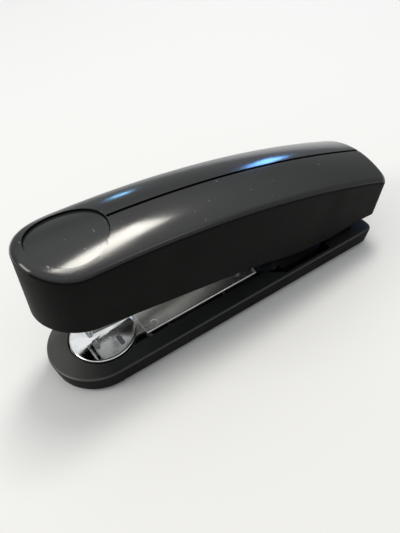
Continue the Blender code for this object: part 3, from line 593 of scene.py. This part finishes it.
# ---------------------------------------------------------------- base
BASE_REAR = 151.0
DECK = 9.6
BASE_CORNER = 3.5
RIM_RADIUS = 0.9                   # the deck's rounded edge
SLOT_HALF_WIDTH = 12.3
WELL_HALF_WIDTH, WELL_TAIL_HALF_WIDTH = 18.3, 12.6
RIB_HALF_LENGTH, RIB_HALF_WIDTH = 3, 17.6
SCREW_HOLE_RADIUS, SCREW_SEAT_RADIUS = 1.8, 3.3
EAR_INNER, EAR_OUTER, EAR_DEPTH = 12.9, 15.0, 11.4
STRIP_FRONT, STRIP_REAR, STRIP_HALF_WIDTH = 38.5, 93, 10.3
NECK_HALF_WIDTH = 8.2
FLANGE_INNER, FLANGE_OUTER = 8.9, 9.7
FLANGE_RUNS = ((50, 67.5), (77, 91))
ANVIL_STATION = ((ANVIL_LOW.x + ANVIL_HIGH.x) / 2 - BASE_ORIGIN) / MM
PIN_STATION = (PIN.x - BASE_ORIGIN) / MM
PIN_HEIGHT = PIN.z / MM


def ear_outline(depth):
    """A hinge ear around the pin: rounded at the top and rear, leaning on its front leg."""
    points = [(-3.8, -depth), (-3.8, -6.8)]
    for step in range(21):
        angle = math.radians(-110 + 10 * step)
        points.append((6.0 * math.cos(angle), 6.0 * math.sin(angle)))
    for step in range(7):
        angle = math.radians(90 + 15 * step)
        points.append((-15.0 + 3.0 * math.cos(angle), 3.0 + 3.0 * math.sin(angle)))
    points.append((-18.0, -depth))
    return [(x + PIN_STATION, z + PIN_HEIGHT) for x, z in points]


def base_shell():
    """The long moulding: rounded rim, hollow underside, strip slot, well, ribs and hinge ears."""
    levels = [(1.1 + 0.35, 1.8), (1.1, 2.15), (0.1, DECK - 1.6), (0.0, DECK - 0.95)]
    for step in range(1, 6):
        angle = math.radians(18 * step)
        levels.append((RIM_RADIUS * (1 - math.cos(angle)),
                       DECK - RIM_RADIUS + RIM_RADIUS * math.sin(angle)))
    form = lofted([(BASE_HALF_WIDTH - inset, BASE_NOSE, BASE_REAR - inset, BASE_CORNER,
                    lambda x, y, z=z: z) for inset, z in levels], 30, 2, 6, 2)
    shell = Shape("base_shell_skin", form, BASE_FRAME)
    hollow = [(BASE_HALF_WIDTH - inset, BASE_NOSE, 94.0, 1.0, lambda x, y, z=z: z)
              for inset, z in ((3.2, -1.0), (2.4, 7.2))]
    shell.cut(lofted(hollow, 20, 1, 3, 2))
    shell.cut(cylinder((ANVIL_STATION, 0, DECK), 14.2, 8, segments=128))
    shell.cut(box((32, -SLOT_HALF_WIDTH, 5), (96, SLOT_HALF_WIDTH, 12)))
    half = [(95, SLOT_HALF_WIDTH), (103, WELL_HALF_WIDTH), (127, WELL_HALF_WIDTH),
            (127, WELL_TAIL_HALF_WIDTH), (147, WELL_TAIL_HALF_WIDTH)]
    shell.cut(prism(half + [(x, -y) for x, y in reversed(half)], 2.8, 14.8))
    for station in RIB_STATIONS:
        shell.join(box((station - RIB_HALF_LENGTH, -RIB_HALF_WIDTH, 2.2),
                       (station + RIB_HALF_LENGTH, RIB_HALF_WIDTH, 8.1)))
        shell.cut(cylinder((station, 0, 5), SCREW_HOLE_RADIUS, 14, segments=32))
        shell.cut(cylinder((station, 0, 1.6), SCREW_SEAT_RADIUS, 4, segments=40))
    for side in (-1, 1):
        low, high = sorted((side * EAR_INNER, side * EAR_OUTER))
        shell.join(upright(ear_outline(EAR_DEPTH), low, high))
    skin = shell.bake(edge=0.25, segments=2, angle=45.0)
    # Painted shade: every face but the deck keeps the darker wall copy of the plastic; the deck's
    # faces take the second slot.
    paint_where(skin, BASE_FRAME, 1,
                lambda centre, normal: centre.z > DECK - RIM_RADIUS and normal.z > 0.3)
    show(skin, "base", ["base_shell"], "base_plastic", BASE_WALL_SHADED, DECK_PLASTIC)


def base_plate():
    """The plated strip: a pan under the anvil, a neck and the flanged rear run."""
    plate = Shape("base_plate_skin", cylinder((ANVIL_STATION, 0, 8.0), 13.7, 1.2, segments=96),
                  BASE_FRAME)
    plate.join(box((33, -NECK_HALF_WIDTH, 7.4), (40, NECK_HALF_WIDTH, 8.6)))
    plate.join(box((STRIP_FRONT, -NECK_HALF_WIDTH, 7.6), (40.2, NECK_HALF_WIDTH, 9.4)))
    plate.join(rounded_box((STRIP_FRONT, -STRIP_HALF_WIDTH, 8.4),
                           (STRIP_REAR, STRIP_HALF_WIDTH, DECK), 0.5))
    for front, rear in FLANGE_RUNS:
        for side in (-1, 1):
            inner, outer = sorted((side * FLANGE_INNER, side * FLANGE_OUTER))
            plate.join(box((front, inner, 5.4), (rear, outer, 9.3)))
    plate.cut(cylinder((ANVIL_STATION, 0, 8), 3.3, 6, segments=48))
    for side in (-1, 1):
        plate.cut(cylinder((86.0, 5 * side, DECK), 1.4, 6, segments=32))
    for station in RIB_STATIONS:
        plate.cut(cylinder((station, 0, 8.4), 1.8, 1.6, segments=32))
    plate.cut(cylinder((43.5, -7.2, 9.9), 1.5, 1.2, segments=32, top_radius=2.2))
    skin = plate.bake(edge=0.05, angle=50.0)
    # Painted shade: the flanges below the strip take the near-black steel.
    paint_where(skin, BASE_FRAME, 1, lambda centre, normal: centre.z < 8.2 and centre.x > 41)
    # Painted highlight: the strip's side edges take the brighter copy of the plating.
    paint_where(skin, BASE_FRAME, 2, lambda centre, normal: centre.z > 8.4 and centre.x > 38
                and abs(normal.y) > 0.25)
    show(skin, "base", ["base_plate"], "plated_strip", STRIP_PLATE, STRIP_UNDERSIDE_SHADE, STRIP_EDGE_HIGHLIGHT)
    curl_lip()


def curl_lip():
    """The curled lip on the strip's rear end: a short rolled strip of the same sheet, given the
    brighter plating as a painted highlight.
    """
    bm = bmesh.new()
    rings = []
    for step in range(9):
        angle = math.radians(-70 + 25 * step)
        ring = []
        for radius in (0.42, 0.08):
            for y in (-10.05, -7.65):
                ring.append(bm.verts.new((92.2 + radius * math.cos(angle) * 1.2, y,
                                          10.1 + radius * math.sin(angle))))
        rings.append(ring)
    for first, second in zip(rings, rings[1:]):
        for a, b in ((0, 1), (1, 3), (3, 2), (2, 0)):
            bm.faces.new((first[a], first[b], second[b], second[a]))
    for ring in (rings[0], rings[-1]):
        bm.faces.new((ring[0], ring[1], ring[3], ring[2]))
    lip = Shape("strip_lip", finished_mesh(bm), BASE_FRAME).bake(edge=0.06)
    # Painted highlight: the lip takes the brighter copy of the plating.
    lip.data.materials.append(STRIP_EDGE_HIGHLIGHT)
    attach(lip, "base")


# Each pocket pair: place along the disc, then its span from the middle outwards.
ANVIL_POCKETS = ((-4.5, 0.8, 6.3), (4.5, 4.4, 10.0))
POCKET_HALF_WIDTH, POCKET_DEPTH = 1.05, 0.45
PUNCH_MARKS = ((1.6, 3.6, 0.42), (2.6, 6.2, 0.55), (-1.2, 5.0, 0.35))   # x, y, radius


def turned_mesh(profile, segments=96):
    """Revolve a closed-in profile (radius, height) about Z."""
    bm = bmesh.new()
    verts = [bm.verts.new((radius, 0, height)) for radius, height in profile]
    edges = [bm.edges.new(pair) for pair in zip(verts, verts[1:])]
    bmesh.ops.spin(bm, geom=verts + edges, cent=(0, 0, 0), axis=(0, 0, 1),
                   angle=2 * math.pi, steps=segments, use_duplicate=False)
    bmesh.ops.remove_doubles(bm, verts=bm.verts, dist=0.0005)
    return finished_mesh(bm)


def stadium(x, inner, outer, half_width):
    """A pocket outline along Y with round ends."""
    points = []
    for middle, start in ((outer - half_width, 0), (inner + half_width, 180)):
        for step in range(13):
            angle = math.radians(start + 15 * step)
            points.append((x + half_width * math.cos(angle), middle + half_width * math.sin(angle)))
    return points


def anvil_plate():
    """Polished disc: eased rim, round-ended pockets and small punch marks."""
    top = ANVIL_HIGH.z / MM
    low = ANVIL_LOW.z / MM
    radius = (ANVIL_HIGH.x - ANVIL_LOW.x) / 2 / MM
    rim = [(0, top), (radius - 0.9, top), (radius - 0.35, top - 0.10), (radius - 0.1, top - 0.3),
           (radius, top - 0.6), (radius, low + 0.2), (radius - 0.2, low), (0, low)]
    disc = Shape("anvil_plate_skin", turned_mesh(rim), ANVIL_FRAME)
    for side in (-1, 1):
        for x, inner, outer in ANVIL_POCKETS:
            first, last = sorted((side * inner, side * outer))
            disc.cut(prism(stadium(x, first, last, POCKET_HALF_WIDTH), top - POCKET_DEPTH, top + 1))
        for x, y, size in PUNCH_MARKS:
            disc.cut(cylinder((x, side * y, top), size * 0.6, 0.5, segments=32, top_radius=size))
    skin = disc.bake(edge=0.08, segments=2, angle=35.0)
    # Painted shade: the pockets and punch marks take the darker spring steel instead of the chrome.
    paint_where(skin, ANVIL_FRAME, 1, lambda centre, normal: low + 0.1 < centre.z < top - 0.2
                and centre.xy.length < radius - 1)
    show(skin, "anvil", ["anvil_plate"], "anvil_chrome", ANVIL_CHROME, SPRING_STEEL)


# ---------------------------------------------------------------- carried-over nodes


def softened(name, material, edge):
    """A CAD node's shape with its sharp sheet edges rounded, standing for the node."""
    node = frame["nodes"][name]
    bm = bmesh.new()
    bm.from_mesh(node.data)
    bm.transform(node.matrix_world)
    bmesh.ops.remove_doubles(bm, verts=bm.verts, dist=0.000002)
    bmesh.ops.dissolve_limit(bm, angle_limit=math.radians(0.5), verts=bm.verts, edges=bm.edges)
    bm.transform(Matrix.Scale(1 / MM, 4))
    piece = Shape(name + "_skin", finished_mesh(bm), Matrix()).bake(edge=edge, angle=35.0)
    show(piece, BODY_OF[name], [name], SLOT_OF[name], material)


def carried_over():
    """The other nodes keep their CAD shape; the larger ones get rounded edges."""
    finishes = {"hinge_bracket": BLACK_PAINT, "foot_front": FOOT_RUBBER, "foot_rear": FOOT_RUBBER,
                "magazine_channel": MAGAZINE_PLATE, "nose_plate": MAGAZINE_PLATE,
                "pusher": PUSHER_PLASTIC, "return_spring": SPRING_STEEL,
                "pin_clip_left": SPRING_STEEL, "pin_clip_right": SPRING_STEEL,
                "anvil_washer": SPRING_STEEL}
    rounded = {"hinge_bracket": 0.15, "foot_front": 0.3, "foot_rear": 0.3,
               "magazine_channel": 0.12, "nose_plate": 0.12, "pusher": 0.25, "press_arm": 0.15,
               "staple_rail": 0.12, "driver_blade": 0.06, "rod_anchor": 0.1,
               "return_spring": 0.08, "pin_clip_left": 0.1, "pin_clip_right": 0.1}
    for name, node in frame["nodes"].items():
        material = finishes.get(name, PLAIN_STEEL)
        if name in rounded:
            softened(name, material, rounded[name])
        elif name not in REPLACED:
            node.data.materials.clear()
            node.data.materials.append(material)


# ---------------------------------------------------------------- springs and screws


ROD_FRONT, ROD_LEVEL = -116.3, -5.7
DRIVE_COIL = {"radius": 1.5, "wire": 0.4, "length": 98.6, "turns": 34}
LIFT_COIL = {"radius": 4.3, "wire": 0.5, "length": 2.4, "turns": 2.5, "ends": 0.5}
LIFT_COIL_LOW = 4.7
LEAF_CUTS = range(112, 127)        # stations at which the lift leaf is cut, to bend


def coil(radius, wire, length, turns, ends=0.75):
    """A round-wire helix along Z from 0, its end turns closed up, as a tube mesh."""
    sides, per_turn = 10, 28
    count = int(turns * per_turn)
    bm = bmesh.new()
    rings = []
    closed = ends / turns
    for index in range(count + 1):
        share = index / count
        climb = min(max((share - closed) / (1 - 2 * closed), 0.0), 1.0)
        close = wire * 1.05 * (min(share, closed) + max(share - 1 + closed, 0.0)) * turns
        free = length - wire - 2 * wire * 1.05 * ends
        height = wire / 2 + close + climb * free
        angle = 2 * math.pi * turns * share
        out = Vector((math.cos(angle), math.sin(angle), 0))
        ring = []
        for side in range(sides):
            turn = 2 * math.pi * side / sides
            ring.append(bm.verts.new(out * (radius + wire / 2 * math.cos(turn))
                                     + Vector((0, 0, height + wire / 2 * math.sin(turn)))))
        rings.append(ring)
    for first, second in zip(rings, rings[1:]):
        for side in range(sides):
            after = (side + 1) % sides
            bm.faces.new((first[side], first[after], second[after], second[side]))
    bm.faces.new(rings[0])
    bm.faces.new(rings[-1])
    return finished_mesh(bm)


def coil_springs():
    """The pusher's and the anvil's coils, which shorten as their slides move."""
    along = Matrix.Translation((ROD_FRONT, 0, ROD_LEVEL)) @ Matrix.Rotation(math.pi / 2, 4, "Y")
    mesh = coil(**DRIVE_COIL)
    mesh.transform(along)
    drive = Shape("pusher_spring_coil", mesh, MAGAZINE_FRAME).bake(smooth=60)
    show(drive, "magazine", ["pusher_spring"], "spring_steel", SPRING_STEEL)
    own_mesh(drive)
    mesh = coil(**LIFT_COIL)
    mesh.transform(Matrix.Translation((0, 0, LIFT_COIL_LOW)))
    lift = Shape("anvil_spring_coil", mesh, ANVIL_FRAME).bake(smooth=60)
    show(lift, "base", ["anvil_spring"], "spring_steel", SPRING_STEEL)
    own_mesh(lift)


def lift_leaf():
    """The lift spring's leaf, which bends between the bracket and the magazine."""
    name = "lift_spring"
    node = frame["nodes"][name]
    bm = bmesh.new()
    bm.from_mesh(node.data)
    bm.transform(node.matrix_world)
    bm.transform(Matrix.Scale(1 / MM, 4))
    for station in LEAF_CUTS:
        plane = (BASE_ORIGIN / MM + station, 0, 0)
        bmesh.ops.bisect_plane(bm, geom=bm.verts[:] + bm.edges[:] + bm.faces[:],
                               plane_co=plane, plane_no=(1, 0, 0))
    leaf = Shape("lift_spring_leaf", finished_mesh(bm), Matrix()).bake(smooth=40)
    show(leaf, None, [name], "spring_steel", SPRING_STEEL)
    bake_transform(leaf)


def crossed_screw(name, place, x, head_low, tip, body):
    """A pan-head screw with a rounded head, a cross recess and a threaded shank."""
    profile = [(0, tip), (1.0, tip)]
    steps = int((tip - head_low - 2.6) / 0.35)
    for step in range(steps):
        height = tip - 0.5 - 0.35 * step
        profile += [(1.5, height), (1.27, height - 0.175)]
    profile += [(1.5, head_low + 1.6), (1.5, head_low + 1.2), (2.7, head_low + 1.2),
                (2.9, head_low + 1.05), (2.9, head_low + 0.6), (2.7, head_low + 0.28),
                (2.3, head_low + 0.08), (1.8, head_low), (0, head_low)]
    mesh = turned_mesh(profile, 40)
    mesh.transform(Matrix.Translation((x, 0, 0)))
    screw = Shape(name + "_skin", mesh, place)
    screw.cut(box((x - 1.6, -0.28, head_low - 1), (x + 1.6, 0.28, head_low + 0.7)))
    screw.cut(box((x - 0.28, -1.6, head_low - 1), (x + 0.28, 1.6, head_low + 0.7)))
    show(screw.bake(smooth=30), body, [name], "plain_steel", PLAIN_STEEL)


def screws():
    for number, station in enumerate(RIB_STATIONS, 1):
        crossed_screw(f"base_screw_{number}", BASE_FRAME, station, 2.1, DECK - 0.7, "base")
    for number, u in enumerate(COVER_SCREW_PLACES, 1):
        crossed_screw(f"cover_screw_{number}", HEAD_FRAME, u, 9.8, ARM_TOP + 4.0, "head")


# ---------------------------------------------------------------- stage, light, camera


FLOOR_NEAR, FLOOR_FAR = (0.64, 0.64, 0.636), (0.40, 0.40, 0.40)
LAMP_REACH = 0.9                   # distance of every lamp from what it faces


def stage():
    """A pale floor whose colour darkens a little away from the object, a painted falloff of the
    light.
    """
    bpy.ops.mesh.primitive_plane_add(size=6.0, location=(0, 0, 0))
    floor = bpy.context.object
    floor.name = "floor"
    m = Nodes("floor_paper", FLOOR_NEAR, 0.9)
    distance = m.tree.nodes.new("ShaderNodeVectorMath")
    distance.operation = "LENGTH"
    m.link(m.place, distance.inputs[0])
    mottle = m.ranged(m.noise(3.0, 2.0), 0.3, 0.7, -0.02, 0.02)
    # Painted light falloff: the floor's colour darkens with distance from the object, plus a faint
    # random mottle.
    painted_falloff = m.math("ADD", m.ranged(distance.outputs["Value"], 0.35, 1.3, 0.0, 1.0), mottle)
    m.finish(m.blend_colours(painted_falloff, FLOOR_NEAR, FLOOR_FAR))
    floor.data.materials.append(m.material)


def world():
    """A light tent: bright overhead, dimmer towards the horizon."""
    scene_world = bpy.data.worlds.new("studio")
    bpy.context.scene.world = scene_world
    scene_world.use_nodes = True
    tree = scene_world.node_tree
    background = tree.nodes["Background"]
    place = tree.nodes.new("ShaderNodeTexCoord")
    parts = tree.nodes.new("ShaderNodeSeparateXYZ")
    tree.links.new(place.outputs["Generated"], parts.inputs[0])
    rise = tree.nodes.new("ShaderNodeMapRange")
    rise.interpolation_type = "SMOOTHSTEP"
    rise.inputs["From Min"].default_value = 0.33
    rise.inputs["From Max"].default_value = 0.90
    rise.inputs["To Min"].default_value = 0.36
    rise.inputs["To Max"].default_value = 1.0
    tree.links.new(parts.outputs["Z"], rise.inputs["Value"])
    tree.links.new(rise.outputs["Result"], background.inputs["Strength"])
    background.inputs["Color"].default_value = (0.97, 0.985, 1.0, 1.0)
    bpy.context.scene.view_settings.view_transform = "Standard"


def area_light(name, target, direction, size, power, colour):
    """A rectangular soft light that faces the target from the given direction."""
    data = bpy.data.lights.new(name, "AREA")
    data.shape = "RECTANGLE"
    data.size, data.size_y = size
    data.energy = power
    data.color = colour
    light = bpy.data.objects.new(name, data)
    bpy.context.scene.collection.objects.link(light)
    way = Vector(direction).normalized()
    light.location = Vector(target) + way * LAMP_REACH
    light.rotation_euler = way.to_track_quat("Z", "Y").to_euler()
    return light


def lights():
    """A warm lamp overhead, two small bluish windows behind, and two weak fills."""
    nose = (BASE_ORIGIN + 0.031, -0.012, 0.063)
    area_light("lamp", nose, (0.335, 0.225, 0.915), (0.17, 0.37), 5.0, (1.0, 0.97, 0.89))
    middle = (BASE_ORIGIN + 0.106, 0.002, 0.054)
    area_light("window", middle, (0.696, 0.687, 0.208), (0.07, 0.15), 0.6,
               (0.16, 0.42, 1.0))
    front = (BASE_ORIGIN + 0.048, 0.0094, 0.063)
    area_light("far_window", front, (0.348, 0.927, 0.137), (0.05, 0.05), 0.12,
               (0.25, 0.6, 1.0))
    area_light("left_fill", nose, (-0.80, 0.25, 0.55), (0.4, 0.4), 3.0, (1.0, 0.97, 0.90))
    area_light("near_strip", middle, (0.33, -0.69, 0.58), (0.35, 0.20), 0.2,
               (1.0, 0.99, 0.95))


def camera():
    """The view from above the nose, on the near side."""
    data = bpy.data.cameras.new("camera")
    data.sensor_width = 36.0
    data.lens = 40.55
    data.clip_start = 0.01
    view = bpy.data.objects.new("camera", data)
    bpy.context.scene.collection.objects.link(view)
    right = Vector((0.83263, -0.54712, -0.08592))
    up = Vector((0.44612, 0.57065, 0.68945))
    back = right.cross(up)
    turn = Matrix((right, up, back)).transposed().to_4x4()
    place = Vector((BASE_ORIGIN - 0.010634, -0.15315, 0.19811))
    view.matrix_world = Matrix.Translation(place) @ turn
    bpy.context.scene.camera = view


# ---------------------------------------------------------------- assembly
head_cover()
thumb_pad()
base_shell()
base_plate()
anvil_plate()
coil_springs()
lift_leaf()
screws()
carried_over()
stage()
world()
lights()
camera()
